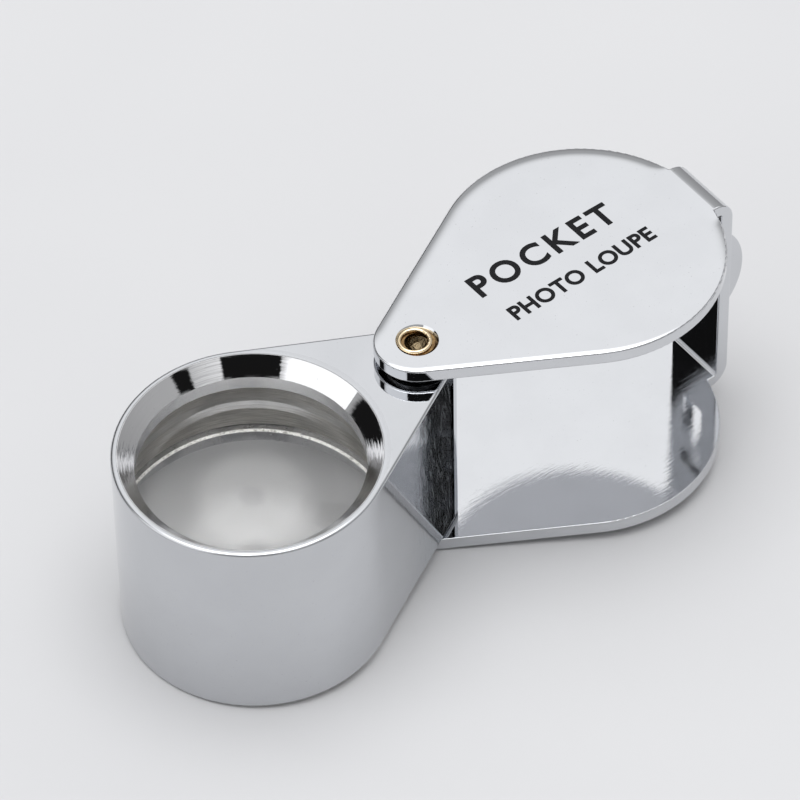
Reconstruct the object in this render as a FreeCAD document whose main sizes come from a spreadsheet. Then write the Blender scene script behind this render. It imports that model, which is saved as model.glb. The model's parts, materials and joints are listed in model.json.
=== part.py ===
import FreeCAD, Part
import Sketcher
import math
import os
import re

# Folding pocket loupe: a bent sheet case with two teardrop plates, and a lens body
# that swings round a rivet between them.  Millimetres, +Z up, lens swung straight out.
# The origin is the middle of the open loupe's footprint, on the case's underside.

DIMENSIONS = {
    # the case, one bent strip of sheet
    "sheet_thickness": 1.15,
    "plate_gap": 18.6,
    "plate_radius": 11.45,
    "plate_end_radius": 3.45,
    "swing_arm": 16.25,
    "web_width": 5.8,
    "web_reach": 29.3,
    "neck_start": 22.0,
    "bend_inside_radius": 0.25,
    "sheet_edge_radius": 0.14,
    "rivet_hole_radius": 1.22,
    "sink_radius": 1.7,
    "sink_depth": 0.6,
    # the lanyard strap, lanced out of the case's closed end
    "strap_width": 2.4,
    "strap_height": 11.0,
    "strap_rise": 2.6,
    "strap_radius": 6.05,
    "strap_thickness": 1.4,
    # the lens body, a barrel with a tail that turns on the rivet, a little past straight
    "rest_swing": 0.97,
    "body_height": 17.75,
    "body_lift": 1.42,
    "barrel_radius": 10.8,
    "tail_radius": 3.05,
    "body_edge_radius": 0.28,
    "lens_bore_radius": 9.6,
    "thread_bore_radius": 9.88,
    "thread_bore_depth": 2.6,
    "flange_bore_radius": 10.33,
    "flange_bore_depth": 1.4,
    "pivot_bore_radius": 1.27,
    # the threaded bezel rings that hold the glass
    "ring_flange_radius": 10.3,
    "ring_flange_height": 1.38,
    "ring_skirt_radius": 9.84,
    "ring_height": 2.48,
    "ring_land": 0.04,
    "clear_radius": 9.0,
    "bevel_depth": 1.3,
    # the cemented triplet
    "glass_radius": 9.5,
    "glass_seat_depth": 2.5,
    "outer_curve": 24.0,
    "cement_curve": 15.0,
    "cement_film": 0.02,
    "eye_flint_edge": 5.8,
    "crown_edge": 2.4,
    # the rivet and its washers
    "rivet_radius": 1.2,
    "rivet_head_radius": 1.62,
    "rivet_recess": 0.05,
    "rivet_flare_radius": 1.42,
    "rivet_flare_drop": 0.22,
    "rivet_cup_radius": 1.02,
    "rivet_cup_depth": 0.6,
    "rivet_cup_curve": 1.15,
    "lip_centre_radius": 1.21,
    "lip_section_radius": 0.17,
    "lip_drop": 0.1,
    "lip_shift_along": -0.17,
    "lip_shift_across": 0.13,
    "washer_hole_radius": 1.3,
    "spring_washer_radius": 2.6,
    "spring_washer_thickness": 0.3,
    "flat_washer_radius": 2.8,
    "running_gap": 0.02,
}

SHEET_NAME = "Dimensions"
PIVOT_X = "(barrel_radius - web_reach - strap_rise + swing_arm) / 2"
CASE_HEIGHT = "(2 * sheet_thickness + plate_gap)"
UPPER_PLATE = "(sheet_thickness + plate_gap)"
BODY_TOP = "(body_lift + body_height)"
GLASS_X = f"({PIVOT_X} - swing_arm * cos(rest_swing * 1 deg))"
GLASS_Y = "(-swing_arm * sin(rest_swing * 1 deg))"
VERTICAL_AXIS = -2
HORIZONTAL_AXIS = -1
ORIGIN_POINT = (-1, 1)
START, END, CENTRE = 1, 2, 3
ON_AXIS = 1e-9
LEVEL = 1e-4
LEAST_CUT = 1e-3

doc = FreeCAD.newDocument("viewing_loupe")
sheet = doc.addObject("Spreadsheet::Sheet", SHEET_NAME)
for row, (alias, number) in enumerate(DIMENSIONS.items(), start=1):
    sheet.set(f"A{row}", alias)
    sheet.set(f"B{row}", str(number))
    sheet.setAlias(f"B{row}", alias)
doc.recompute()


def bound(text):
    """The expression with every alias pointed at the sheet."""
    return re.sub(r"[a-z]+(?:_[a-z]+)+", lambda word: f"{SHEET_NAME}.{word.group()}", text)


def measure(text):
    """The number that an expression of aliases gives."""
    return float(sheet.evalExpression(bound(text)))


def new_body(label, x_place="0", y_place="0", z_place="0"):
    body = doc.addObject("PartDesign::Body", label)
    body.Label = label
    body.setExpression("Placement.Base.x", bound(x_place))
    body.setExpression("Placement.Base.y", bound(y_place))
    body.setExpression("Placement.Base.z", bound(z_place))
    return body


def new_sketch(body, name, plane="XY_Plane", lift="0"):
    """A sketch on one of the body's own origin planes, moved along its normal."""
    sketch = body.newObject("Sketcher::SketchObject", name)
    base = next(item for item in body.Origin.OriginFeatures if item.Role == plane)
    sketch.AttachmentSupport = [(base, "")]
    sketch.MapMode = "FlatFace"
    sketch.setExpression("AttachmentOffset.Base.z", bound(lift))
    return sketch


def pin_vertex(sketch, edge, end, x_text, y_text):
    """Hold one vertex at sheet-driven coordinates."""
    for text, axis, kind in ((x_text, VERTICAL_AXIS, "DistanceX"), (y_text, HORIZONTAL_AXIS, "DistanceY")):
        number = measure(text)
        if abs(number) < ON_AXIS:
            sketch.addConstraint(Sketcher.Constraint("PointOnObject", edge, end, axis))
        else:
            index = sketch.addConstraint(Sketcher.Constraint(kind, *ORIGIN_POINT, edge, end, number))
            sketch.setExpression(f"Constraints[{index}]", bound(text))


def arc_centre(first, last, radius, side):
    """Centre of the short arc from first to last; side +1 bulges right of the way there."""
    middle = (first + last) * 0.5
    way = last - first
    half = way.Length / 2
    normal = FreeCAD.Vector(-way.y, way.x, 0).normalize()
    return middle + normal * (side * math.sqrt(radius * radius - half * half))


def profile(body, name, corners, bulges=None, plane="XZ_Plane"):
    """A closed outline through the corners.

    corners are pairs of expressions.  bulges maps the number of an edge to (radius, side):
    that edge is a short arc, which bulges right of the way round for +1 and left for -1.
    """
    bulges = bulges or {}
    sketch = new_sketch(body, name, plane)
    points = [FreeCAD.Vector(measure(x_text), measure(y_text), 0) for x_text, y_text in corners]
    count = len(points)
    ends = []
    for edge in range(count):
        first = points[edge]
        last = points[(edge + 1) % count]
        if edge not in bulges:
            sketch.addGeometry(Part.LineSegment(first, last))
            ends.append((START, END))
            continue
        radius_text, side = bulges[edge]
        radius = measure(radius_text)
        centre = arc_centre(first, last, radius, side)
        angles = [math.atan2(point.y - centre.y, point.x - centre.x) for point in (first, last)]
        if side < 0:
            angles.reverse()
        circle = Part.Circle(centre, FreeCAD.Vector(0, 0, 1), radius)
        sketch.addGeometry(Part.ArcOfCircle(circle, *angles))
        ends.append((START, END) if side > 0 else (END, START))
    for edge in range(count):
        after = (edge + 1) % count
        sketch.addConstraint(Sketcher.Constraint("Coincident", edge, ends[edge][1], after, ends[after][0]))
    for edge, (x_text, y_text) in enumerate(corners):
        pin_vertex(sketch, edge, ends[edge][0], x_text, y_text)
    for edge, (radius_text, _) in bulges.items():
        index = sketch.addConstraint(Sketcher.Constraint("Radius", edge, measure(radius_text)))
        sketch.setExpression(f"Constraints[{index}]", bound(radius_text))
    return sketch


def teardrop(body, name, way, big_radius, end_radius, lift, chord=None):
    """A teardrop: a small arc round the pivot, a big one an arm away, and their tangents.

    way is +1 or -1 along X.  A chord, if there is one, cuts the big arc off square.
    """
    arm = measure("swing_arm")
    big = measure(big_radius)
    small = measure(end_radius)
    opening = math.pi / 2 + math.asin((big - small) / arm)
    facing = 0.0 if way > 0 else math.pi
    up = FreeCAD.Vector(0, 0, 1)
    far = Part.Circle(FreeCAD.Vector(way * arm, 0, 0), up, big)
    near = Part.Circle(FreeCAD.Vector(0, 0, 0), up, small)
    shapes = [Part.ArcOfCircle(far, facing - opening, facing + opening)]
    if chord:
        half = math.asin(measure(chord) / 2 / big)
        below = Part.ArcOfCircle(far, facing - opening, facing - half)
        above = Part.ArcOfCircle(far, facing + half, facing + opening)
        shapes = [below, Part.LineSegment(below.EndPoint, above.StartPoint), above]
    tail = Part.ArcOfCircle(near, facing + opening, facing - opening + 2 * math.pi)
    shapes.append(Part.LineSegment(shapes[-1].EndPoint, tail.StartPoint))
    shapes.append(tail)
    shapes.append(Part.LineSegment(tail.EndPoint, shapes[0].StartPoint))
    sketch = new_sketch(body, name, "XY_Plane", lift)
    for shape in shapes:
        sketch.addGeometry(shape)
    count = len(shapes)
    tail_edge = count - 2
    for edge in range(count):
        after = (edge + 1) % count
        kind = "Coincident" if chord and after in (1, 2) else "Tangent"
        sketch.addConstraint(Sketcher.Constraint(kind, edge, END, after, START))
    sketch.addConstraint(Sketcher.Constraint("Coincident", tail_edge, CENTRE, *ORIGIN_POINT))
    sketch.addConstraint(Sketcher.Constraint("PointOnObject", 0, CENTRE, HORIZONTAL_AXIS))
    sizes = [
        (("Radius", 0, big), big_radius),
        (("Radius", tail_edge, small), end_radius),
        (("DistanceX", *ORIGIN_POINT, 0, CENTRE, way * arm), f"{way} * swing_arm"),
    ]
    if chord:
        reach = way * measure(chord) / 2
        sketch.addConstraint(Sketcher.Constraint("Coincident", 0, CENTRE, 2, CENTRE))
        sketch.addConstraint(Sketcher.Constraint("Equal", 0, 2))
        sizes.append((("DistanceY", *ORIGIN_POINT, 0, END, -reach), f"{-way} * {chord} / 2"))
        sizes.append((("DistanceY", *ORIGIN_POINT, 2, START, reach), f"{way} * {chord} / 2"))
    for constraint, text in sizes:
        index = sketch.addConstraint(Sketcher.Constraint(*constraint))
        sketch.setExpression(f"Constraints[{index}]", bound(text))
    return sketch


def pad(body, name, sketch, length, midplane=False):
    feature = body.newObject("PartDesign::Pad", name)
    feature.Profile = sketch
    feature.setExpression("Length", bound(length))
    feature.Midplane = midplane
    doc.recompute()
    return feature


def revolve(body, name, sketch, kind="PartDesign::Revolution"):
    feature = body.newObject(kind, name)
    feature.Profile = sketch
    feature.ReferenceAxis = (sketch, ["V_Axis"])
    feature.Angle = 360.0
    doc.recompute()
    return feature


def must_cut(body, volume_before):
    """Stop if the last feature took nothing away."""
    if body.Shape.Volume > volume_before - LEAST_CUT:
        raise RuntimeError(f"{body.Label}: a cut missed the solid")


def round_edges(body, name, wanted, radius):
    """Fillet the edges of the body's tip that wanted() picks."""
    doc.recompute()
    tip = body.Tip
    names = [f"Edge{number}" for number, edge in enumerate(tip.Shape.Edges, start=1) if wanted(edge)]
    feature = body.newObject("PartDesign::Fillet", name)
    feature.Base = (tip, names)
    feature.setExpression("Radius", bound(radius))
    doc.recompute()
    return feature


def flat_at(edge, heights):
    """Is the edge level, at one of these heights?"""
    box = edge.BoundBox
    level = box.ZMax - box.ZMin < LEVEL
    return level and any(abs(box.ZMax - height) < LEVEL for height in heights)


# case_shell: a U of sheet, two teardrop plates joined by a narrow web at the closed end
WEB_INNER = "(web_reach - sheet_thickness)"
BEND_START = "(swing_arm + sqrt(plate_radius ^ 2 - (web_width / 2) ^ 2))"
BEND_OUTSIDE = f"(web_reach - {BEND_START})"
STRAP_CENTRE = "(web_reach + strap_rise - strap_radius)"
STRAP_INNER_RADIUS = "(strap_radius - strap_thickness)"
INNER_BEND_START = f"({WEB_INNER} - bend_inside_radius)"
PAST_THE_FACE = 1.0
PAST_THE_WEB = 0.5


def chord_height(radius, x_text):
    """Half the chord that a circle round the strap's centre leaves on the line x."""
    return f"sqrt({radius} ^ 2 - ({x_text} - {STRAP_CENTRE}) ^ 2)"


def strap_segment(body, name, radius, x_text):
    """The part of the strap's circle that lies beyond the line x."""
    half = chord_height(radius, x_text)
    corners = [(x_text, f"strap_height - {half}"), (x_text, f"strap_height + {half}")]
    return profile(body, name, corners, {0: (radius, 1)})


def is_rim_edge(edge):
    """A level edge that isn't the chord across the web's end."""
    box = edge.BoundBox
    return box.ZMax - box.ZMin < LEVEL and box.XMax - box.XMin > LEVEL


def is_strip_edge(edge):
    """A long edge down either side of the strip, and not one across its thickness."""
    box = edge.BoundBox
    across = box.XMax - box.XMin < LEVEL and edge.Length < measure("sheet_thickness") + LEVEL
    return box.YMax - box.YMin < LEVEL and not across


def make_plate(name, lift):
    """One teardrop plate, cut square where the strip takes over, with its rims broken."""
    plate = new_body(f"{name}_blank")
    outline = teardrop(plate, f"{name}_outline", 1, "plate_radius", "plate_end_radius", lift, "web_width")
    pad(plate, f"{name}_pad", outline, "sheet_thickness")
    round_edges(plate, f"{name}_rims", is_rim_edge, "sheet_edge_radius")
    return plate


def make_case():
    body = new_body("case_shell", PIVOT_X)
    strip = profile(
        body,
        "strip_profile",
        [
            ("neck_start", "0"),
            (BEND_START, "0"),
            ("web_reach", BEND_OUTSIDE),
            ("web_reach", f"{CASE_HEIGHT} - {BEND_OUTSIDE}"),
            (BEND_START, CASE_HEIGHT),
            ("neck_start", CASE_HEIGHT),
            ("neck_start", UPPER_PLATE),
            (INNER_BEND_START, UPPER_PLATE),
            (WEB_INNER, f"{UPPER_PLATE} - bend_inside_radius"),
            (WEB_INNER, "sheet_thickness + bend_inside_radius"),
            (INNER_BEND_START, "sheet_thickness"),
            ("neck_start", "sheet_thickness"),
        ],
        {
            1: (BEND_OUTSIDE, 1),
            3: (BEND_OUTSIDE, 1),
            7: ("bend_inside_radius", -1),
            9: ("bend_inside_radius", -1),
        },
    )
    pad(body, "bent_strip", strip, "web_width", midplane=True)
    round_edges(body, "worn_strip", is_strip_edge, "sheet_edge_radius")
    plates = [make_plate("lower_plate", "0"), make_plate("upper_plate", UPPER_PLATE)]
    joined = body.newObject("PartDesign::Boolean", "joined_plates")
    joined.Type = "Fuse"
    joined.setObjects(plates)
    doc.recompute()
    middle_of_sheet = "(web_reach - sheet_thickness / 2)"
    bulge = strap_segment(body, "strap_outside", "strap_radius", middle_of_sheet)
    pad(body, "strap_bulge", bulge, "strap_width", midplane=True)
    before = body.Shape.Volume
    window = body.newObject("PartDesign::Pocket", "strap_window")
    behind_the_web = f"({WEB_INNER} - {PAST_THE_WEB})"
    window.Profile = strap_segment(body, "strap_inside", STRAP_INNER_RADIUS, behind_the_web)
    window.Midplane = True
    window.setExpression("Length", bound("strap_width"))
    doc.recompute()
    must_cut(body, before)
    before = body.Shape.Volume
    hole = profile(
        body,
        "rivet_hole_profile",
        [
            ("0", f"{-PAST_THE_FACE}"),
            ("sink_radius", f"{-PAST_THE_FACE}"),
            ("sink_radius", "0"),
            ("rivet_hole_radius", "sink_depth"),
            ("rivet_hole_radius", f"{CASE_HEIGHT} - sink_depth"),
            ("sink_radius", CASE_HEIGHT),
            ("sink_radius", f"{CASE_HEIGHT} + {PAST_THE_FACE}"),
            ("0", f"{CASE_HEIGHT} + {PAST_THE_FACE}"),
        ],
    )
    revolve(body, "rivet_holes", hole, "PartDesign::Groove")
    must_cut(body, before)
    return body


# lens_body: a barrel and its tail, bored for the glass, the rings and the rivet
def make_lens_body():
    body = new_body("lens_body", PIVOT_X, z_place="body_lift")
    body.setExpression("Placement.Rotation.Angle", bound("rest_swing * 1 deg"))
    outline = teardrop(body, "body_outline", -1, "barrel_radius", "tail_radius", "0")
    pad(body, "body_block", outline, "body_height")
    ends = [0.0, measure("body_height")]
    round_edges(body, "soft_edges", lambda edge: flat_at(edge, ends), "body_edge_radius")
    before = body.Shape.Volume
    corners = [
        ("0", f"{-PAST_THE_FACE}"),
        ("flange_bore_radius", f"{-PAST_THE_FACE}"),
        ("flange_bore_radius", "flange_bore_depth"),
        ("thread_bore_radius", "flange_bore_depth"),
        ("thread_bore_radius", "thread_bore_depth"),
        ("lens_bore_radius", "thread_bore_depth"),
        ("lens_bore_radius", "body_height - thread_bore_depth"),
        ("thread_bore_radius", "body_height - thread_bore_depth"),
        ("thread_bore_radius", "body_height - flange_bore_depth"),
        ("flange_bore_radius", "body_height - flange_bore_depth"),
        ("flange_bore_radius", f"body_height + {PAST_THE_FACE}"),
        ("0", f"body_height + {PAST_THE_FACE}"),
    ]
    bore = profile(body, "lens_bore_profile", corners)
    bore.setExpression("AttachmentOffset.Base.x", bound("-swing_arm"))
    revolve(body, "lens_bore", bore, "PartDesign::Groove")
    must_cut(body, before)
    before = body.Shape.Volume
    pivot = new_sketch(body, "pivot_circle", "XY_Plane", "body_height")
    radius = measure("pivot_bore_radius")
    pivot.addGeometry(Part.Circle(FreeCAD.Vector(0, 0, 0), FreeCAD.Vector(0, 0, 1), radius))
    pivot.addConstraint(Sketcher.Constraint("Coincident", 0, CENTRE, *ORIGIN_POINT))
    index = pivot.addConstraint(Sketcher.Constraint("Radius", 0, radius))
    pivot.setExpression(f"Constraints[{index}]", bound("pivot_bore_radius"))
    drilled = body.newObject("PartDesign::Pocket", "pivot_bore")
    drilled.Profile = pivot
    drilled.Type = "ThroughAll"
    doc.recompute()
    must_cut(body, before)
    return body


# the two bezel rings: a bevelled flange over a threaded skirt, made mouth up
def make_ring(label, mouth_height, turned):
    body = new_body(label, GLASS_X, GLASS_Y, mouth_height)
    corners = [
        ("clear_radius", "-ring_height"),
        ("ring_skirt_radius", "-ring_height"),
        ("ring_skirt_radius", "-ring_flange_height"),
        ("ring_flange_radius", "-ring_flange_height"),
        ("ring_flange_radius", "0"),
        ("ring_flange_radius - ring_land", "0"),
        ("clear_radius", "-bevel_depth"),
    ]
    if turned:
        corners = [(radius, f"-({height})") for radius, height in reversed(corners)]
    revolve(body, f"{label}_turning", profile(body, f"{label}_profile", corners))
    return body


# the triplet: two flint menisci cemented to a crown between them
def sag(curve):
    """How far a sphere of this radius falls between its pole and the glass's rim."""
    return f"({curve} - sqrt({curve} ^ 2 - glass_radius ^ 2))"


SEAT_TO_RIM = "(sqrt(outer_curve ^ 2 - clear_radius ^ 2) - sqrt(outer_curve ^ 2 - glass_radius ^ 2))"
GLASS_TOP = f"({BODY_TOP} - glass_seat_depth - {SEAT_TO_RIM})"
GLASS_FOOT = f"(body_lift + glass_seat_depth + {SEAT_TO_RIM})"
CROWN_TOP = f"({GLASS_TOP} - eye_flint_edge)"
CROWN_FOOT = f"({CROWN_TOP} - crown_edge)"


def make_glass(label, foot, top, foot_sag, top_sag, foot_curve, top_curve, foot_side, top_side):
    """One lens: rims at foot and top, with the sag and side of each spherical face."""
    body = new_body(label, GLASS_X, GLASS_Y)
    corners = [
        ("0", f"{foot} + {foot_sag}"),
        ("glass_radius", foot),
        ("glass_radius", top),
        ("0", f"{top} + {top_sag}"),
    ]
    arcs = {0: (foot_curve, foot_side), 2: (top_curve, top_side)}
    revolve(body, f"{label}_turning", profile(body, f"{label}_profile", corners, arcs))
    return body


def make_triplet():
    outer = sag("outer_curve")
    inner = sag("cement_curve")
    film = "cement_film"
    eye = make_glass(
        "eye_flint_lens", CROWN_TOP, GLASS_TOP, inner, outer, "cement_curve", "outer_curve", -1, 1
    )
    crown = make_glass(
        "centre_crown_lens",
        f"({CROWN_FOOT} + {film})",
        f"({CROWN_TOP} - {film})",
        f"(-{inner})",
        inner,
        "cement_curve",
        "cement_curve",
        1,
        1,
    )
    field = make_glass(
        "field_flint_lens",
        GLASS_FOOT,
        CROWN_FOOT,
        f"(-{outer})",
        f"(-{inner})",
        "outer_curve",
        "cement_curve",
        1,
        -1,
    )
    return [eye, crown, field]


# the semi-tubular rivet: a sunk head below, and above a flared mouth with a lip rolled off centre
def make_rivet():
    body = new_body("pivot_rivet", PIVOT_X)
    slope = "((sink_radius - rivet_hole_radius) / sink_depth)"
    head_depth = f"((rivet_head_radius - rivet_radius) / {slope})"
    flare_foot = f"({CASE_HEIGHT} - sink_depth)"
    flare_height = f"({flare_foot} + (rivet_flare_radius - rivet_radius) / {slope})"
    mouth = f"({CASE_HEIGHT} - rivet_flare_drop)"
    cup_foot = f"({CASE_HEIGHT} - rivet_cup_depth)"
    cup_sag = "(rivet_cup_curve - sqrt(rivet_cup_curve ^ 2 - rivet_cup_radius ^ 2))"
    corners = [
        ("0", "rivet_recess"),
        ("rivet_head_radius", "rivet_recess"),
        ("rivet_radius", f"rivet_recess + {head_depth}"),
        ("rivet_radius", flare_foot),
        ("rivet_flare_radius", flare_height),
        ("rivet_flare_radius", mouth),
        ("rivet_cup_radius", mouth),
        ("rivet_cup_radius", cup_foot),
        ("0", f"{cup_foot} - {cup_sag}"),
    ]
    shank = profile(body, "rivet_profile", corners, {7: ("rivet_cup_curve", -1)})
    revolve(body, "rivet_turning", shank)
    level = f"({CASE_HEIGHT} - lip_drop)"
    lip_corners = [
        ("lip_centre_radius + lip_section_radius", level),
        ("lip_centre_radius", f"{level} + lip_section_radius"),
        ("lip_centre_radius - lip_section_radius", level),
        ("lip_centre_radius", f"{level} - lip_section_radius"),
    ]
    arcs = {edge: ("lip_section_radius", 1) for edge in range(len(lip_corners))}
    lip = profile(body, "lip_profile", lip_corners, arcs)
    lip.setExpression("AttachmentOffset.Base.x", bound("lip_shift_along"))
    lip.setExpression("AttachmentOffset.Base.z", bound("-lip_shift_across"))
    revolve(body, "rolled_lip", lip)
    return body


def make_washers():
    spring = new_body("spring_washer", PIVOT_X)
    corners = [
        ("washer_hole_radius", f"{UPPER_PLATE} - spring_washer_thickness"),
        ("spring_washer_radius", f"{BODY_TOP} + running_gap"),
        ("spring_washer_radius", f"{BODY_TOP} + running_gap + spring_washer_thickness"),
        ("washer_hole_radius", UPPER_PLATE),
    ]
    revolve(spring, "spring_turning", profile(spring, "spring_profile", corners))
    flat = new_body("flat_washer", PIVOT_X)
    corners = [
        ("washer_hole_radius", "sheet_thickness"),
        ("flat_washer_radius", "sheet_thickness"),
        ("flat_washer_radius", "body_lift - running_gap"),
        ("washer_hole_radius", "body_lift - running_gap"),
    ]
    revolve(flat, "flat_turning", profile(flat, "flat_profile", corners))
    return [spring, flat]


bodies = [make_case(), make_lens_body()]
bodies.append(make_ring("eye_bezel_ring", BODY_TOP, False))
bodies.append(make_ring("field_bezel_ring", "body_lift", True))
bodies += make_triplet()
bodies.append(make_rivet())
bodies += make_washers()

doc.recompute()
for item in doc.Objects:
    if "Invalid" in item.State or "Error" in item.State:
        raise RuntimeError(f"{item.Label}: {item.State}")
for body in bodies:
    if body.Shape.isNull() or not body.Shape.isValid():
        raise RuntimeError(f"{body.Label}: bad shape")

os.makedirs("parts", exist_ok=True)
for body in bodies:
    body.Shape.exportStep(f"parts/{body.Label}.step")
    box = body.Shape.BoundBox
    print(
        f"{body.Label}: {len(body.Shape.Solids)} solid, {body.Shape.Volume:.1f} mm3, "
        f"x {box.XMin:.2f} to {box.XMax:.2f}, y {box.YMin:.2f} to {box.YMax:.2f}, "
        f"z {box.ZMin:.2f} to {box.ZMax:.2f}"
    )
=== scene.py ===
import json
import math

import bpy
from mathutils import Matrix, Vector


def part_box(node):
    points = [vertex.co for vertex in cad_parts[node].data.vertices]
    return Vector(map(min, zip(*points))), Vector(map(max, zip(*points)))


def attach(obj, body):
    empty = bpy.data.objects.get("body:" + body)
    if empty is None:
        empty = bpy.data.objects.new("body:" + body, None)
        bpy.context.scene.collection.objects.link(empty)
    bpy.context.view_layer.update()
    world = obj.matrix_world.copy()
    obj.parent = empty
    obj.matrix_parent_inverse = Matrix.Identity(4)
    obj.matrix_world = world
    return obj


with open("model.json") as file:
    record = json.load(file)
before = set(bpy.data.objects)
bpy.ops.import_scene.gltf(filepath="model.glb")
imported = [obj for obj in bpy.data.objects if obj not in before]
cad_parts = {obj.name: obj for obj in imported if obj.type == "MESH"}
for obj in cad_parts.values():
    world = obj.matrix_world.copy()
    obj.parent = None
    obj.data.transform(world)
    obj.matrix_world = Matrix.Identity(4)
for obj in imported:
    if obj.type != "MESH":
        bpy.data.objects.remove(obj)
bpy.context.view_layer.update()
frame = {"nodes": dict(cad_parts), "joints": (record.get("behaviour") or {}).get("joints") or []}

# Folding pocket loupe: chrome case and barrel, brass rivet, cemented triplet.
# Every length is in metres, in the CAD's own frame: +X along the case, +Z up.
# Inside a material, places are in millimetres, worked out as name / MM, and bump depths in metres.

MM = 0.001
NODES = frame["nodes"]
HINGE = Vector(frame["joints"][0]["pos_m"])
PIVOT_X = HINGE.x
PIVOT = (HINGE.x, HINGE.y)
CASE_LOW, CASE_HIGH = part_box("case_shell")
BODY_LOW, BODY_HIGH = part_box("lens_body")
GLASS_LOW, GLASS_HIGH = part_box("eye_flint_lens")
AXIS = ((GLASS_LOW.x + GLASS_HIGH.x) / 2, (GLASS_LOW.y + GLASS_HIGH.y) / 2)
GLASS_RADIUS = (GLASS_HIGH.x - GLASS_LOW.x) / 2
RING_LOW, RING_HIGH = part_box("eye_bezel_ring")
RING_RADIUS = (RING_HIGH.x - RING_LOW.x) / 2
CLEAR_RADIUS = GLASS_RADIUS - 0.5 * MM
SWING_ARM = math.dist(AXIS, PIVOT)
BARREL_RADIUS = (BODY_HIGH.y - BODY_LOW.y) / 2
TAIL_RADIUS = BODY_HIGH.x - PIVOT_X
PLATE_RADIUS = CASE_HIGH.y
PLATE_END_RADIUS = PIVOT_X - CASE_LOW.x
CASE_MIDDLE = (CASE_LOW.z + CASE_HIGH.z) / 2
CASE_HALF_HEIGHT = (CASE_HIGH.z - CASE_LOW.z) / 2
STRIP_HALF_WIDTH = 2.9 * MM


# ---------------------------------------------------------------- node helper
class Graph:
    """Short way to write a node tree."""

    def __init__(self, tree):
        self.tree = tree
        tree.nodes.clear()

    def node(self, kind, *sockets, **settings):
        """A node; sockets are (input, value or output) pairs, settings its properties."""
        made = self.tree.nodes.new(kind)
        for name, value in settings.items():
            setattr(made, name, value)
        for key, value in sockets:
            self.put(made.inputs[key], value)
        return made

    def put(self, socket, value):
        if isinstance(value, bpy.types.NodeSocket):
            self.tree.links.new(value, socket)
        else:
            socket.default_value = value

    def math(self, operation, *values):
        made = self.tree.nodes.new("ShaderNodeMath")
        made.operation = operation
        for socket, value in zip(made.inputs, values):
            self.put(socket, value)
        return made.outputs[0]

    def ramp(self, value, low, high, to_low=0.0, to_high=1.0, smooth=True):
        """value mapped from low..high to to_low..to_high, clamped."""
        made = self.node(
            "ShaderNodeMapRange",
            ("Value", value),
            ("From Min", low),
            ("From Max", high),
            ("To Min", to_low),
            ("To Max", to_high),
        )
        made.interpolation_type = "SMOOTHSTEP" if smooth else "LINEAR"
        return made.outputs["Result"]

    def mix(self, factor, first, second):
        """A colour between two."""
        made = self.tree.nodes.new("ShaderNodeMix")
        made.data_type = "RGBA"
        self.put(made.inputs[0], factor)
        self.put(made.inputs[6], first)
        self.put(made.inputs[7], second)
        return made.outputs[2]

    def choose(self, factor, first, second):
        """A number between two."""
        made = self.node("ShaderNodeMix", (0, factor), (2, first), (3, second), data_type="FLOAT")
        return made.outputs[0]

    def parts(self, vector):
        """The vector's three numbers."""
        return self.node("ShaderNodeSeparateXYZ", ("Vector", vector)).outputs

    def noise(self, vector, scale, detail=3.0, roughness=0.55, distortion=0.0):
        made = self.node(
            "ShaderNodeTexNoise",
            ("Vector", vector),
            ("Scale", scale),
            ("Detail", detail),
            ("Roughness", roughness),
            ("Distortion", distortion),
        )
        return made.outputs[0]

    def stretched(self, vector, scale):
        """The vector scaled differently along each axis."""
        made = self.node("ShaderNodeVectorMath", (0, vector), (1, scale), operation="MULTIPLY")
        return made.outputs[0]

    def bump(self, height, distance, normal=None):
        made = self.node("ShaderNodeBump", ("Strength", 1.0), ("Distance", distance), ("Height", height))
        if normal is not None:
            self.put(made.inputs["Normal"], normal)
        return made.outputs[0]


def new_material(name):
    material = bpy.data.materials.new(name)
    material.use_nodes = True
    return material, Graph(material.node_tree)


def finish_material(graph, shader):
    out = graph.node("ShaderNodeOutputMaterial")
    graph.tree.links.new(shader, out.inputs["Surface"])


def darker(colour, share):
    """The colour times share, still opaque."""
    return tuple(part * share for part in colour[:3]) + (1.0,)


def millimetres(graph):
    """The object's own coordinates, in millimetres."""
    place = graph.node("ShaderNodeTexCoord").outputs["Object"]
    return graph.stretched(place, (1.0 / MM,) * 3)


def from_axis(graph, place, centre):
    """Distance from the vertical line through centre, its two parts, and the height, in millimetres."""
    parts = graph.parts(place)
    east = graph.math("SUBTRACT", parts[0], centre[0] / MM)
    north = graph.math("SUBTRACT", parts[1], centre[1] / MM)
    squared = graph.math("ADD", graph.math("MULTIPLY", east, east), graph.math("MULTIPLY", north, north))
    return graph.math("SQRT", squared), east, north, parts[2]


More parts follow.
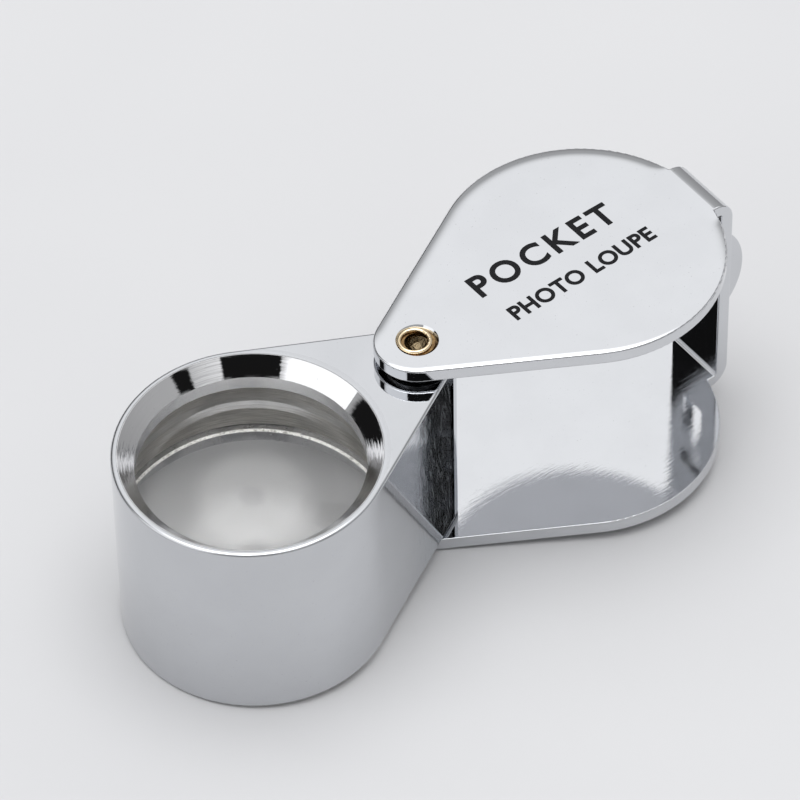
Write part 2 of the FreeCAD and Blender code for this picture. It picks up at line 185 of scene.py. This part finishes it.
def outline_distance(graph, place, near_x, near_radius, far_x, far_radius):
    """Signed distance to a teardrop: small circle at near_x, big one at far_x, in millimetres."""
    arm = abs(far_x - near_x) / MM
    way = 1.0 if far_x > near_x else -1.0
    small, big = near_radius / MM, far_radius / MM
    parts = graph.parts(place)
    along = graph.math("MULTIPLY", graph.math("SUBTRACT", parts[0], far_x / MM), -way)
    aside = graph.math("ABSOLUTE", parts[1])
    lean = (big - small) / arm
    rise = math.sqrt(1 - lean * lean)
    share = graph.math("SUBTRACT", graph.math("MULTIPLY", along, rise), graph.math("MULTIPLY", aside, lean))

    def round_part(shift, radius):
        east = graph.math("SUBTRACT", along, shift)
        squared = graph.math("ADD", graph.math("MULTIPLY", east, east), graph.math("MULTIPLY", aside, aside))
        return graph.math("SUBTRACT", graph.math("SQRT", squared), radius)

    flank = graph.math("ADD", graph.math("MULTIPLY", along, lean), graph.math("MULTIPLY", aside, rise))
    flank = graph.math("SUBTRACT", flank, big)
    past_big = graph.math("GREATER_THAN", share, 0.0)
    past_flank = graph.math("GREATER_THAN", share, rise * arm)
    first = graph.choose(past_big, round_part(0.0, big), flank)
    return graph.choose(past_flank, first, round_part(arm, small))


def off_case_middle(graph, height):
    """How far a height is from the middle of the case, in millimetres."""
    return graph.math("ABSOLUTE", graph.math("SUBTRACT", height, CASE_MIDDLE / MM))


# ------------------------------------------------------------------ materials
# The height off the case's middle, in millimetres, over which the sheet's inner edges are rounded.
# Beyond it come the cut edge and then the outer face.
INNER_EDGE_FROM, INNER_EDGE_TO = 9.31, 9.44
EDGE_WEAR = 0.22
# The flanks' milky colour, tinted blue: a painted reflection of the case's inside, which the flat flanks
# mirror.
SCUFF_AND_REFLECTION_TINT = (0.55, 0.575, 0.605, 1.0)
SCRATCH_SLANT = math.radians(14.0)


def chrome(
    name,
    tint,
    gloss,
    hairline_way,
    hairline_depth,
    waves=2.0e-6,
    dub=None,
    turned=None,
    scuff_and_reflection=None,
    worn=None,
):
    """Mirror plate with polishing marks.

    gloss is the lowest roughness.  hairline_way scales the noise that makes the fine lines.
    hairline_depth and waves are the depths of the lines and of the slow unevenness, in metres.
    dub is (distance, width, depth): on the case's two outer faces, which have few lines, the polish
    rounds the face off towards its outline, over width in millimetres and by depth in metres.
    turned is an axis: lathe rings run round it.
    scuff_and_reflection is a mask of where handling has left the plate milky and streaked; there the colour
    also gets a blue painted reflection.
    worn is a mask of the edges that the pocket has dulled.
    """
    material, graph = new_material(name)
    place = millimetres(graph)
    haze = graph.noise(place, 0.55, 4.0, 0.6)
    grain = graph.noise(place, 14.0, 2.0)
    lines = graph.noise(graph.stretched(place, hairline_way), 1.0, 4.0, 0.65)
    if dub is not None:
        off_middle = off_case_middle(graph, graph.parts(place)[2])
        outer_face = graph.ramp(off_middle, INNER_EDGE_FROM, INNER_EDGE_TO)
        lines = graph.math("MULTIPLY", lines, graph.ramp(outer_face, 0.0, 1.0, 1.0, 0.15))
    rough = graph.ramp(haze, 0.35, 0.75, gloss, gloss + 0.025)
    rough = graph.math("ADD", rough, graph.ramp(lines, 0.5, 0.8, 0.0, 0.02))
    tone = graph.ramp(graph.noise(place, 0.22, 3.0), 0.3, 0.7)
    colour = graph.mix(tone, darker(tint, 0.97), tint)
    fleck = graph.ramp(graph.noise(place, 6.0, 1.0), 0.74, 0.78)
    colour = graph.mix(fleck, colour, darker(tint, 0.8))
    normal = graph.bump(graph.noise(place, 0.5, 2.0), waves)
    normal = graph.bump(lines, hairline_depth, normal)
    normal = graph.bump(grain, 2.5e-7, normal)
    if worn is not None:
        rough = graph.math("ADD", rough, graph.math("MULTIPLY", worn(graph, place), EDGE_WEAR))
    if turned is not None:
        radius, _, _, height = from_axis(graph, place, turned)
        wobble = graph.noise(place, 0.35, 2.0)
        rings = graph.node("ShaderNodeCombineXYZ", (0, radius), (1, wobble), (2, height)).outputs[0]
        ring_noise = graph.noise(graph.stretched(rings, (4.5, 2.2, 4.5)), 1.0, 3.0, 0.6)
        normal = graph.bump(ring_noise, 8.0e-6, normal)
        rough = graph.math("ADD", rough, graph.ramp(ring_noise, 0.5, 0.8, 0.0, 0.02))
    if dub is not None:
        distance, width, depth = dub
        to_edge, fade = distance(graph, place)
        fall = graph.math("POWER", graph.ramp(to_edge, -width, 0.0, 0.0, 1.0, smooth=False), 3.0)
        fall = graph.math("MULTIPLY", graph.math("MULTIPLY", fall, outer_face), fade)
        normal = graph.bump(graph.math("MULTIPLY", fall, -1.0), depth, normal)
    metallic = 1.0
    if scuff_and_reflection is not None:
        slanted = graph.node(
            "ShaderNodeVectorRotate", ("Vector", place), ("Angle", SCRATCH_SLANT), rotation_type="Y_AXIS"
        ).outputs[0]
        scratches = graph.noise(graph.stretched(slanted, (5.0, 5.0, 0.22)), 1.0, 2.0, 0.6)
        streaks = graph.ramp(scratches, 0.56, 0.64)
        milky = graph.ramp(streaks, 0.0, 1.0, 0.06, 0.26)
        scuff_and_reflection_share = scuff_and_reflection(graph, place)
        metallic = graph.math("SUBTRACT", 1.0, graph.math("MULTIPLY", milky, scuff_and_reflection_share))
        # Painted reflection: the flanks' colour is tinted blue to stand in for the case's inside mirrored in
        # them.
        colour = graph.mix(scuff_and_reflection_share, colour, SCUFF_AND_REFLECTION_TINT)
    shader = graph.node(
        "ShaderNodeBsdfPrincipled",
        ("Base Color", colour),
        ("Metallic", metallic),
        ("Roughness", rough),
        ("Normal", normal),
    )
    finish_material(graph, shader.outputs[0])
    return material


def plate_outline(graph, place):
    """Distance to the edge of a case plate, and a mask that keeps off the strip at the closed end."""
    to_edge = outline_distance(graph, place, PIVOT_X, PLATE_END_RADIUS, PIVOT_X + SWING_ARM, PLATE_RADIUS)
    parts = graph.parts(place)
    beside = graph.math("SUBTRACT", graph.math("ABSOLUTE", parts[1]), STRIP_HALF_WIDTH / MM)
    in_strip = graph.ramp(beside, 0.0, 1.5, 1.0, 0.0)
    far_end = graph.ramp(parts[0], (PIVOT_X + SWING_ARM) / MM + 6.0, (PIVOT_X + SWING_ARM) / MM + 8.0)
    return to_edge, graph.math("SUBTRACT", 1.0, graph.math("MULTIPLY", in_strip, far_end))


def plate_rims(graph, place):
    """The outer edges of the two case plates, worn in patches."""
    to_edge, fade = plate_outline(graph, place)
    off_middle = off_case_middle(graph, graph.parts(place)[2])
    half = CASE_HALF_HEIGHT / MM
    near_face = graph.ramp(off_middle, half - 0.25, half - 0.08)
    corner = graph.math("MULTIPLY", graph.ramp(to_edge, -0.3, -0.05), near_face)
    patches = graph.ramp(graph.noise(place, 1.3, 3.0), 0.42, 0.6, 0.1, 0.6)
    return graph.math("MULTIPLY", graph.math("MULTIPLY", corner, fade), patches)


def bezel_rims(graph, place):
    """The two edges of a bezel's bevel, worn in patches."""
    radius = from_axis(graph, place, AXIS)[0]
    outer = graph.ramp(radius, RING_RADIUS / MM - 0.22, RING_RADIUS / MM - 0.06)
    inner = graph.ramp(radius, CLEAR_RADIUS / MM + 0.05, CLEAR_RADIUS / MM + 0.2, 1.0, 0.0)
    patches = graph.ramp(graph.noise(place, 1.1, 3.0), 0.42, 0.6, 0.15, 0.7)
    return graph.math("MULTIPLY", graph.math("MAXIMUM", outer, inner), patches)


def tail_flank(graph, place):
    """The two flat sides of the lens body's tail, between its barrel and its rounded end."""
    off_barrel = from_axis(graph, place, AXIS)[0]
    off_pivot, _, _, height = from_axis(graph, place, PIVOT)
    beyond = graph.ramp(off_barrel, BARREL_RADIUS / MM + 1.0, BARREL_RADIUS / MM + 4.5)
    before_end = graph.ramp(off_pivot, TAIL_RADIUS / MM + 0.01, TAIL_RADIUS / MM + 0.1)
    below_top = graph.ramp(height, BODY_HIGH.z / MM - 0.5, BODY_HIGH.z / MM - 0.35, 1.0, 0.0)
    return graph.math("MULTIPLY", graph.math("MULTIPLY", beyond, before_end), below_top)


def barrel_rims(graph, place):
    """The outer edges of the barrel, top and bottom, but not the tail that runs on from them."""
    radius, _, _, height = from_axis(graph, place, AXIS)
    outside = graph.ramp(radius, BARREL_RADIUS / MM - 0.4, BARREL_RADIUS / MM - 0.15)
    on_barrel = graph.math("LESS_THAN", radius, BARREL_RADIUS / MM + 0.03)
    outside = graph.math("MULTIPLY", outside, on_barrel)
    middle = (BODY_LOW.z + BODY_HIGH.z) / 2 / MM
    half = (BODY_HIGH.z - BODY_LOW.z) / 2 / MM
    off_middle = graph.math("ABSOLUTE", graph.math("SUBTRACT", height, middle))
    return graph.math("MULTIPLY", outside, graph.ramp(off_middle, half - 0.4, half - 0.15))


case_chrome = chrome(
    "case_mirror_chrome",
    (0.67, 0.68, 0.70, 1.0),
    0.012,
    (0.5, 4.0, 3.0),
    4.0e-6,
    waves=2.0e-6,
    dub=(plate_outline, 1.3, 1.3e-4),
    worn=plate_rims,
)
body_chrome = chrome(
    "body_mirror_chrome",
    (0.60, 0.61, 0.63, 1.0),
    0.02,
    (2.5, 2.5, 0.5),
    2.0e-6,
    waves=4.0e-6,
    scuff_and_reflection=tail_flank,
    worn=barrel_rims,
)
bezel_chrome = chrome(
    "bezel_turned_chrome",
    (0.74, 0.74, 0.75, 1.0),
    0.015,
    (1.0, 1.0, 1.0),
    5.0e-7,
    waves=2.0e-6,
    turned=AXIS,
    worn=bezel_rims,
)


# Where the rivet's lip and cup begin and end, in millimetres: heights, and distances from its axis.
LIP_FROM, LIP_FULL = 20.74, 20.84
CUP_FLOOR_FROM, CUP_FLOOR_FULL = 19.0, 19.5
CUP_RADIUS_FULL, CUP_RADIUS_TO = 0.98, 1.06


def brass():
    """Bare brass: a rolled lip rubbed bright, a flare round it darkened as a painted reflection, and a cup
    painted dark as shade.
    """
    material, graph = new_material("rivet_aged_brass")
    place = millimetres(graph)
    tarnish = graph.ramp(graph.noise(place, 1.6, 4.0, 0.6), 0.4, 0.68)
    radius, _, _, height = from_axis(graph, place, PIVOT)
    on_lip = graph.ramp(height, LIP_FROM, LIP_FULL)
    within = graph.ramp(radius, CUP_RADIUS_FULL, CUP_RADIUS_TO, 1.0, 0.0)
    in_cup = graph.math("MULTIPLY", within, graph.ramp(height, CUP_FLOOR_FROM, CUP_FLOOR_FULL))
    # Painted reflection: the flare's brass is darkened to stand in for the dark things it mirrors; the noise
    # between the two browns is tarnish.
    colour = graph.mix(tarnish, (0.34, 0.22, 0.10, 1.0), (0.15, 0.09, 0.045, 1.0))
    colour = graph.mix(on_lip, colour, (0.86, 0.70, 0.47, 1.0))
    # Painted shade: the cup under the lip is painted dark where its hollow is shaded.
    below_lip = graph.math("MULTIPLY", in_cup, graph.ramp(on_lip, 0.0, 1.0, 1.0, 0.0))
    colour = graph.mix(below_lip, colour, (0.13, 0.10, 0.06, 1.0))
    normal = graph.bump(graph.noise(place, 2.2, 2.0), graph.ramp(in_cup, 0.0, 1.0, 1.0e-5, 1.2e-4))
    normal = graph.bump(graph.noise(place, 22.0, 2.0), 1.5e-6, normal)
    shader = graph.node(
        "ShaderNodeBsdfPrincipled",
        ("Base Color", colour),
        ("Metallic", 1.0),
        ("Roughness", graph.ramp(tarnish, 0.0, 1.0, 0.14, 0.3)),
        ("Normal", normal),
    )
    finish_material(graph, shader.outputs[0])
    return material


def washer_metal():
    """Plain spring steel with turning marks and a few dull blots."""
    material, graph = new_material("washer_spring_steel")
    place = millimetres(graph)
    radius, _, _, height = from_axis(graph, place, PIVOT)
    rings = graph.node("ShaderNodeCombineXYZ", (0, radius), (1, 0.0), (2, height)).outputs[0]
    marks = graph.noise(rings, 9.0, 3.0)
    blot = graph.ramp(graph.noise(place, 0.9, 4.0), 0.4, 0.7)
    colour = graph.mix(blot, (0.52, 0.53, 0.55, 1.0), (0.36, 0.35, 0.34, 1.0))
    shader = graph.node(
        "ShaderNodeBsdfPrincipled",
        ("Base Color", colour),
        ("Metallic", 1.0),
        ("Roughness", graph.ramp(marks, 0.3, 0.7, 0.22, 0.42)),
        ("Normal", graph.bump(marks, 3.0e-6)),
    )
    finish_material(graph, shader.outputs[0])
    return material


def polished_glass():
    """Clear glass with a few smudges and specks of dust."""
    material, graph = new_material("polished_glass")
    place = millimetres(graph)
    smudge = graph.ramp(graph.noise(place, 0.35, 4.0, 0.6, 0.6), 0.55, 0.85, 0.0, 0.02)
    dust = graph.ramp(graph.noise(place, 5.0, 1.0), 0.78, 0.8, 0.0, 0.08)
    shader = graph.node(
        "ShaderNodeBsdfPrincipled",
        ("Base Color", (1.0, 1.0, 1.0, 1.0)),
        ("Roughness", graph.math("ADD", smudge, dust)),
        ("IOR", 1.52),
        ("Specular IOR Level", 0.2),
        ("Transmission Weight", 1.0),
        ("Normal", graph.bump(graph.noise(place, 0.8, 2.0), 2.0e-7)),
    )
    finish_material(graph, shader.outputs[0])
    return material


def cemented_face():
    """Faces joined by optical cement: the light goes straight on, with a faint tint."""
    material, graph = new_material("cemented_face")
    place = millimetres(graph)
    tint = graph.ramp(graph.noise(place, 0.6, 3.0), 0.3, 0.7)
    colour = graph.mix(tint, (1.0, 1.0, 0.998, 1.0), (0.993, 0.993, 0.99, 1.0))
    shader = graph.node("ShaderNodeBsdfTransparent", ("Color", colour))
    finish_material(graph, shader.outputs[0])
    return material


def ground_rim(name, pale, dark):
    """The fine-ground cylinder of a lens."""
    material, graph = new_material(name)
    place = millimetres(graph)
    _, east, north, height = from_axis(graph, place, AXIS)
    turn = graph.math("ARCTAN2", north, east)
    round_rim = graph.math("MULTIPLY", turn, GLASS_RADIUS / MM)
    wrapped = graph.node("ShaderNodeCombineXYZ", (0, round_rim), (1, height)).outputs[0]
    streak = graph.noise(graph.stretched(wrapped, (0.5, 6.0, 1.0)), 1.0, 4.0, 0.65)
    mottle = graph.noise(place, 1.2, 4.0)
    colour = graph.mix(graph.ramp(streak, 0.38, 0.62), pale, dark)
    colour = graph.mix(graph.ramp(mottle, 0.5, 0.75, 0.0, 0.35), colour, darker(pale, 0.75))
    broad = graph.noise(graph.stretched(wrapped, (0.2, 0.14, 0.5)), 1.0, 2.0)
    colour = graph.mix(graph.ramp(broad, 0.4, 0.62, 0.0, 0.45), colour, darker(pale, 0.4))
    shader = graph.node(
        "ShaderNodeBsdfPrincipled",
        ("Base Color", colour),
        ("Roughness", graph.ramp(streak, 0.3, 0.7, 0.5, 0.75)),
        ("Normal", graph.bump(graph.noise(place, 25.0, 2.0), 4.0e-6)),
    )
    finish_material(graph, shader.outputs[0])
    return material


def bare_cut_metal():
    """The upper face and bore of the lower ring, cut and never polished: a bright lip, partly a painted
    highlight, and a seat darkened as painted shade.
    """
    material, graph = new_material("bare_cut_metal")
    place = millimetres(graph)
    chatter = graph.noise(place, 6.0, 3.0, 0.7)
    radius = from_axis(graph, place, AXIS)[0]
    clear = CLEAR_RADIUS / MM
    # Painted highlight, in part: the lip is near white, standing in for the bright sky its cut edge mirrors;
    # chatter marks vary it.
    colour = graph.mix(graph.ramp(chatter, 0.45, 0.65), (0.97, 0.96, 0.93, 1.0), (0.5, 0.49, 0.46, 1.0))
    # Painted shade: beyond the lip, the seat under the glass edge is painted dark.
    colour = graph.mix(graph.ramp(radius, clear + 0.18, clear + 0.26), colour, (0.16, 0.155, 0.15, 1.0))
    in_bore = graph.ramp(radius, clear + 0.01, clear + 0.03, 1.0, 0.0)
    colour = graph.mix(in_bore, colour, (0.40, 0.40, 0.42, 1.0))
    # the cut leans in towards the glass's axis
    normal = graph.bump(radius, 2.7e-4)
    shader = graph.node(
        "ShaderNodeBsdfPrincipled",
        ("Base Color", colour),
        ("Metallic", 0.85),
        ("Roughness", graph.ramp(chatter, 0.3, 0.7, 0.25, 0.45)),
        ("Normal", graph.bump(chatter, 4.0e-5, normal)),
    )
    finish_material(graph, shader.outputs[0])
    return material


def black_ink():
    """Matt printing ink, thin in places."""
    material, graph = new_material("printed_black_ink")
    place = millimetres(graph)
    speck = graph.noise(place, 11.0, 4.0)
    colour = graph.mix(graph.ramp(speck, 0.4, 0.75), (0.004, 0.004, 0.005, 1.0), (0.02, 0.02, 0.022, 1.0))
    shader = graph.node(
        "ShaderNodeBsdfPrincipled",
        ("Base Color", colour),
        ("Roughness", graph.ramp(speck, 0.3, 0.7, 0.45, 0.65)),
        ("Specular IOR Level", 0.12),
        ("Normal", graph.bump(speck, 4.0e-6)),
    )
    finish_material(graph, shader.outputs[0])
    return material


def give(node, *materials):
    """Put the materials in a CAD node's slots, in order."""
    slots = NODES[node].data.materials
    slots.clear()
    for material in materials:
        slots.append(material)


glass = polished_glass()
cement = cemented_face()
flint_rim = ground_rim("flint_ground_rim", (0.94, 0.915, 0.88, 1.0), (0.60, 0.58, 0.54, 1.0))
crown_rim = ground_rim("crown_ground_rim", (0.94, 0.93, 0.91, 1.0), (0.78, 0.77, 0.75, 1.0))
steel = washer_metal()
give("case_shell", case_chrome)
give("lens_body", body_chrome)
give("eye_bezel_ring", bezel_chrome)
give("field_bezel_ring", bezel_chrome, bare_cut_metal())
give("pivot_rivet", brass())
give("spring_washer", steel)
give("flat_washer", steel)

for face in NODES["field_bezel_ring"].data.polygons:
    in_bore = abs(face.normal.z) < 0.1 and math.dist(face.center[:2], AXIS) < CLEAR_RADIUS + 0.1 * MM
    face.material_index = 1 if in_bore or face.normal.z > 0.9 else 0

# the glass: each face of a lens gets the finish it has, and no vertex moves
OUTER, INNER, RIM = 0, 1, 2


def finish_lens(node, rim, outer_side):
    """outer_side is +1 or -1 for a lens with a polished face up or down, and 0 for the middle one."""
    give(node, glass, cement, rim)
    for face in NODES[node].data.polygons:
        level = abs(face.normal.z)
        reach = math.dist(face.center[:2], AXIS)
        if level < 0.05 and reach > GLASS_RADIUS - 0.1 * MM:
            face.material_index = RIM
        elif face.normal.z * outer_side > 0:
            face.material_index = OUTER
        else:
            face.material_index = INNER


finish_lens("eye_flint_lens", flint_rim, 1)
finish_lens("centre_crown_lens", crown_rim, 0)
finish_lens("field_flint_lens", flint_rim, -1)


# -------------------------------------------------------------- the marking
INK_THICKNESS = 0.02 * MM


def marking(name, words, cap_height, start, turn_degrees, spacing, weight):
    """Printed words on the upper plate, reading along +X.

    start is the left foot, in metres.  spacing and weight stretch the gaps and thicken the strokes.
    """
    curve = bpy.data.curves.new(name, "FONT")
    curve.body = words
    curve.offset = weight
    curve.space_character = spacing
    curve.extrude = 0.01
    curve.resolution_u = 6
    flat = bpy.data.objects.new(f"{name}_curve", curve)
    bpy.context.scene.collection.objects.link(flat)
    bpy.context.view_layer.update()
    mesh = bpy.data.meshes.new_from_object(flat.evaluated_get(bpy.context.evaluated_depsgraph_get()))
    bpy.data.objects.remove(flat)
    bpy.data.curves.remove(curve)
    top = max(vertex.co.y for vertex in mesh.vertices)
    low = min(vertex.co.y for vertex in mesh.vertices)
    left = min(vertex.co.x for vertex in mesh.vertices)
    size = cap_height / (top - low)
    for vertex in mesh.vertices:
        vertex.co.x = (vertex.co.x - left) * size
        vertex.co.y = (vertex.co.y - low) * size
        vertex.co.z = INK_THICKNESS if vertex.co.z > 0 else 0.0
    mesh.transform(Matrix.Translation(start) @ Matrix.Rotation(math.radians(turn_degrees), 4, "Z"))
    mesh.materials.append(ink)
    piece = bpy.data.objects.new(name, mesh)
    bpy.context.scene.collection.objects.link(piece)
    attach(piece, "case")


ink = black_ink()
UPPER_START = (PIVOT_X + 6.8 * MM, 0.5 * MM, CASE_HIGH.z)
LOWER_START = (PIVOT_X + 7.5 * MM, -3.1 * MM, CASE_HIGH.z)
marking("marking_upper_line", "POCKET", 2.4 * MM, UPPER_START, 1.4, 1.24, 0.024)
marking("marking_lower_line", "PHOTO LOUPE", 1.55 * MM, LOWER_START, 2.2, 1.06, 0.03)


# ------------------------------------------------------------------- floor
def floor():
    """A pale table under the loupe.  Its edges are far out of the picture."""
    material, graph = new_material("pale_floor")
    place = millimetres(graph)
    tone = graph.noise(place, 0.02, 2.0)
    colour = graph.mix(graph.ramp(tone, 0.3, 0.7), (0.60, 0.60, 0.609, 1.0), (0.615, 0.615, 0.622, 1.0))
    shader = graph.node(
        "ShaderNodeBsdfPrincipled",
        ("Base Color", colour),
        ("Roughness", 0.5),
        ("Specular IOR Level", 0.15),
    )
    finish_material(graph, shader.outputs[0])
    half = 1.5  # metres
    mesh = bpy.data.meshes.new("studio_floor")
    corners = [(-half, -half, 0), (half, -half, 0), (half, half, 0), (-half, half, 0)]
    mesh.from_pydata(corners, [], [(0, 1, 2, 3)])
    mesh.materials.append(material)
    piece = bpy.data.objects.new("studio_floor", mesh)
    bpy.context.scene.collection.objects.link(piece)
    # the open loupe leans until the barrel's far edge touches the table
    heel = Vector((CASE_LOW.x, 0.0, 0.0))
    drop = BODY_LOW.z / (CASE_LOW.x - BODY_LOW.x)
    tilt = Matrix.Rotation(math.atan(drop), 4, "Y")
    piece.matrix_world = Matrix.Translation(heel) @ tilt


floor()


# ------------------------------------------------------------------- studio
# Patches of the light tent: azimuth, elevation, half width, half height and softness of the edge in
# degrees, then the brightness.  Azimuth is measured as the camera's is.  A later patch covers an
# earlier one.
LIGHT_CARDS = (
    (-97.0, 32.0, 29.0, 16.0, 3.0, 1.45),
    (148.0, 4.0, 18.0, 20.0, 8.0, 0.36),
    (173.0, 7.0, 13.0, 21.0, 4.0, 0.03),
    (-38.0, 44.0, 26.0, 10.0, 1.0, 0.01),  # round the camera, seen in the far side of the bevel
    (22.0, 36.0, 7.0, 9.0, 1.0, 0.01),
    (-154.5, 5.0, 22.5, 18.0, 1.5, 0.01),
    (-144.0, 47.0, 11.0, 11.0, 2.0, 0.01),  # seen in the web's inner face
)


def studio():
    """A light tent: bright above, grey at the sides, with dark gaps that the chrome shows."""
    world = bpy.data.worlds.new("light_tent")
    bpy.context.scene.world = world
    world.use_nodes = True
    graph = Graph(world.node_tree)
    way = graph.node("ShaderNodeTexCoord").outputs["Generated"]
    to_degrees = math.degrees(1.0)
    rise = graph.math("MULTIPLY", graph.math("ARCSINE", graph.parts(way)[2]), to_degrees)
    side = graph.ramp(rise, 0.0, 34.0, 0.38, 0.5)
    light = graph.math("ADD", side, graph.ramp(rise, 33.0, 46.0, 0.0, 0.64))
    light = graph.math("ADD", light, graph.ramp(rise, 58.0, 71.0, 0.0, 2.7))
    light = graph.math("SUBTRACT", light, graph.ramp(rise, 82.0, 87.0, 0.0, 2.35))

    def card(under, azimuth, elevation, half_width, half_height, soft, level):
        """A patch of another brightness, centred on a direction, in degrees."""
        turned = graph.node(
            "ShaderNodeVectorRotate",
            ("Vector", way),
            ("Angle", math.radians(-azimuth)),
            rotation_type="Z_AXIS",
        ).outputs[0]
        seen = graph.parts(turned)
        ahead = graph.math("MULTIPLY", seen[1], -1.0)
        across = graph.math("MULTIPLY", graph.math("ARCTAN2", seen[0], ahead), to_degrees)
        along = graph.math("ABSOLUTE", across)
        above = graph.math("ABSOLUTE", graph.math("SUBTRACT", rise, elevation))
        inside = graph.math(
            "MULTIPLY",
            graph.ramp(along, half_width - soft, half_width + soft, 1.0, 0.0),
            graph.ramp(above, half_height - soft, half_height + soft, 1.0, 0.0),
        )
        return graph.choose(inside, under, level)

    for patch in LIGHT_CARDS:
        light = card(light, *patch)
    shade = graph.node("ShaderNodeBackground", ("Color", (0.985, 0.99, 1.0, 1.0)), ("Strength", light))
    out = graph.node("ShaderNodeOutputWorld")
    graph.tree.links.new(shade.outputs[0], out.inputs["Surface"])


studio()


# ------------------------------------------------------------------- camera
PHOTO_AZIMUTH, PHOTO_ELEVATION, PHOTO_ROLL = -35.87, 46.99, -1.145
PHOTO_PLACE = Vector((PIVOT_X - 182.319 * MM, -249.703 * MM, 345.549 * MM))
PHOTO_FOCAL_LENGTH = 259.41


def camera():
    """The photograph's own viewing angle."""
    azimuth = math.radians(PHOTO_AZIMUTH)
    elevation = math.radians(PHOTO_ELEVATION)
    roll = math.radians(PHOTO_ROLL)
    back = Vector(
        (
            math.sin(azimuth) * math.cos(elevation),
            -math.cos(azimuth) * math.cos(elevation),
            math.sin(elevation),
        )
    )
    right = Vector((math.cos(azimuth), math.sin(azimuth), 0.0))
    up = back.cross(right)
    across = right * math.cos(roll) + up * math.sin(roll)
    upright = up * math.cos(roll) - right * math.sin(roll)
    data = bpy.data.cameras.new("photo_camera")
    data.sensor_width = 36.0
    data.lens = PHOTO_FOCAL_LENGTH
    data.clip_start = 0.05
    data.clip_end = 20.0
    piece = bpy.data.objects.new("photo_camera", data)
    bpy.context.scene.collection.objects.link(piece)
    turn = Matrix((across, upright, back)).transposed().to_4x4()
    piece.matrix_world = Matrix.Translation(PHOTO_PLACE) @ turn
    bpy.context.scene.camera = piece


camera()
bpy.context.scene.view_settings.view_transform = "Standard"
bpy.context.scene.view_settings.look = "None"
bpy.context.scene.cycles.transparent_max_bounces = 32
